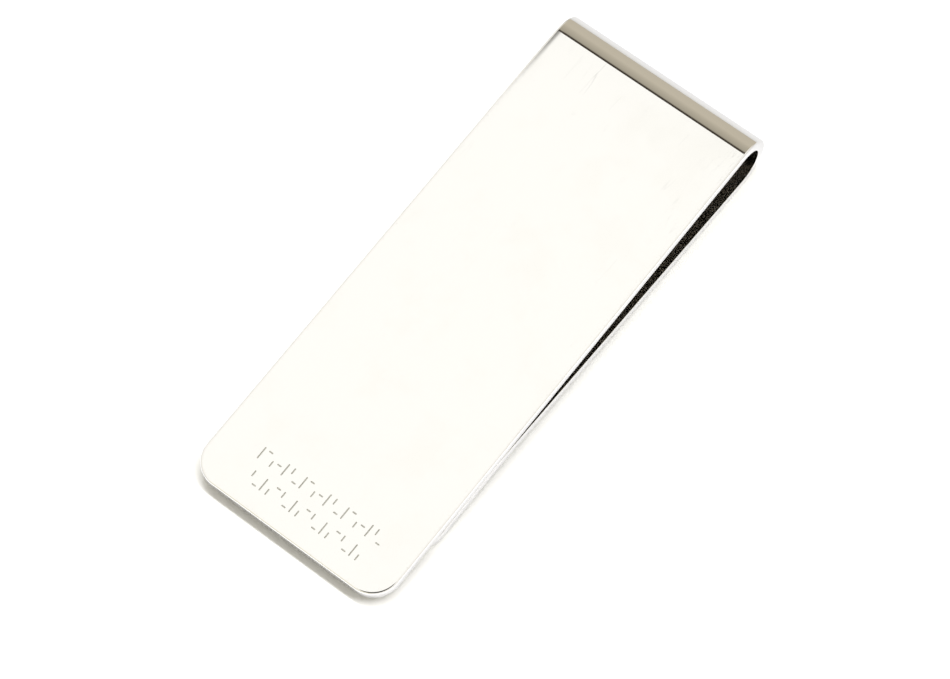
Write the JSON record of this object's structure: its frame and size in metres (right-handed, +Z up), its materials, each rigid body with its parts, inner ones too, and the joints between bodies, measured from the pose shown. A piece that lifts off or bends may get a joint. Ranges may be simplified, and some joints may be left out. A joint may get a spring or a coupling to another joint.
{
  "type": "money clip",
  "caption": "Slim polished metal money clip: one folded strip whose long flat back leaf meets a shorter sprung leaf that pinches folded notes.",
  "frame": {"origin": "middle of the footprint, on the surface that the clip rests on", "axes": "+X across the strip, +Y along it towards the fold, +Z up from the surface"},
  "size_m": [0.025, 0.0658, 0.0073],
  "materials": {
    "back_leaf": "mirror-polished spring-hard white metal, with two rows of matt grey engraved marks at its free end",
    "spring_fold": "mirror-polished spring-hard white metal, with fine draw lines around the bend",
    "pinch_leaf": "mirror-polished spring-hard white metal, slightly scuffed on the side that meets the notes",
    "lead_in_tip": "mirror-polished spring-hard white metal, slightly scuffed along the line that meets the notes"
  },
  "bodies": {
    "pinch_side": {"spring_fold": "spring_fold", "pinch_leaf": "pinch_leaf", "lead_in_tip": "lead_in_tip"},
    "back_side": {"back_leaf": "back_leaf"}
  },
  "joints": [
    {"name": "clip_open", "type": "hinge", "parent": "pinch_side", "child": "back_side", "pos_m": [0, 0.03106, 0.0037], "axis": [-1, 0, 0], "range_deg": [0, 8], "stiffness_Nm_per_rad": 5, "springref_deg": -0.23, "deforming": ["spring_fold"]}
  ]
}
